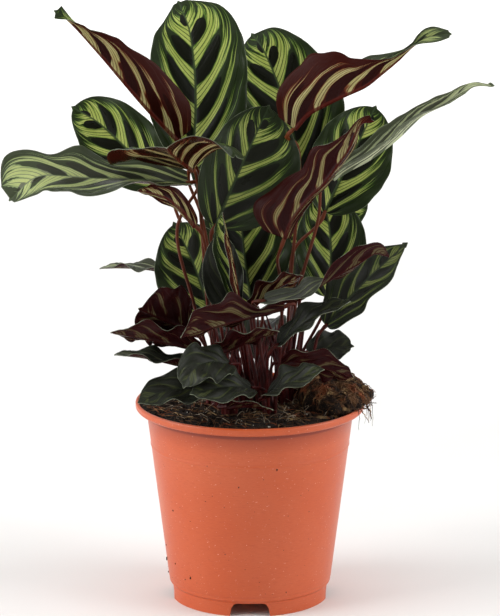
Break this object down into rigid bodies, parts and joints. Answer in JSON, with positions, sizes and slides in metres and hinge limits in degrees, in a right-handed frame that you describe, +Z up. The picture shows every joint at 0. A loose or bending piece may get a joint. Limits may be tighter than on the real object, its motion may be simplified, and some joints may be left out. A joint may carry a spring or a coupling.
{
  "type": "potted peacock plant (Goeppertia makoyana, a prayer plant)",
  "caption": "Potted peacock plant with painted oval leaves, maroon undersides and slim red stalks, in its terracotta coloured plastic nursery pot with soil and a clump of roots at the rim.",
  "frame": {"origin": "on the surface that the pot stands on, under the pot's axis, which is also the middle of the whole plant's outline seen from above", "axes": "+Z up along the pot's axis; -Y is the side from which the plant shows most of its leaves; +X to the right seen from there"},
  "size_m": [0.351, 0.2106, 0.4535],
  "materials": {
    "pot_plastic": "satin",
    "peat": "matte",
    "root_fibre": "matte",
    "stalk": "satin",
    "leaf_upper_light": "satin",
    "leaf_upper_dark": "satin",
    "leaf_underside": "satin"
  },
  "bodies": {
    "root": {"pot": "pot_plastic", "soil": "peat", "root_clump": "root_fibre", "stems_left": "stalk", "stems_back_left": "stalk", "stems_centre": "stalk", "stems_back": "stalk", "stems_right": "stalk", "stems_back_right": "stalk", "stems_front_left": "stalk", "stems_front": "stalk", "leaf_top_centre": "leaf_upper_light", "leaf_top_right": "leaf_upper_light", "leaf_curled_top_right": "leaf_underside", "leaf_curled_top_left": "leaf_underside", "leaf_back_left": "leaf_upper_light", "leaf_long_left": "leaf_upper_light", "leaf_folded_left": "leaf_underside", "leaf_centre": "leaf_upper_light", "leaf_back_right": "leaf_upper_light", "leaf_long_right": "leaf_upper_light", "leaf_curled_centre": "leaf_underside", "leaf_mid_left": "leaf_upper_light", "leaf_small_back_left": "leaf_upper_dark", "leaf_mid_centre": "leaf_upper_light", "leaf_mid_right": "leaf_upper_light", "leaf_mid_back": "leaf_upper_light", "leaf_twisted_right": "leaf_underside", "leaf_low_right": "leaf_upper_dark", "leaf_small_right": "leaf_upper_dark", "leaf_round_right": "leaf_upper_dark", "leaf_maroon_right": "leaf_underside", "leaf_round_left": "leaf_underside", "leaf_flat_left": "leaf_underside", "leaf_cupped_centre": "leaf_underside", "leaf_narrow_left": "leaf_upper_dark", "leaf_drooping_left": "leaf_upper_dark", "leaf_low_left": "leaf_upper_dark", "leaf_low_centre": "leaf_upper_dark", "leaf_lowest_front": "leaf_underside", "leaf_low_front_right": "leaf_upper_dark", "leaf_maroon_centre": "leaf_underside", "leaf_mid_front": "leaf_underside", "leaf_thin_rolled": "leaf_underside", "leaf_dark_centre": "leaf_upper_dark", "leaf_rolled_left": "leaf_underside", "leaf_rear_top": "leaf_upper_light", "leaf_rear_right": "leaf_upper_light", "leaf_rear_left": "leaf_upper_dark", "leaf_rear_low": "leaf_upper_dark"}
  },
  "joints": []
}
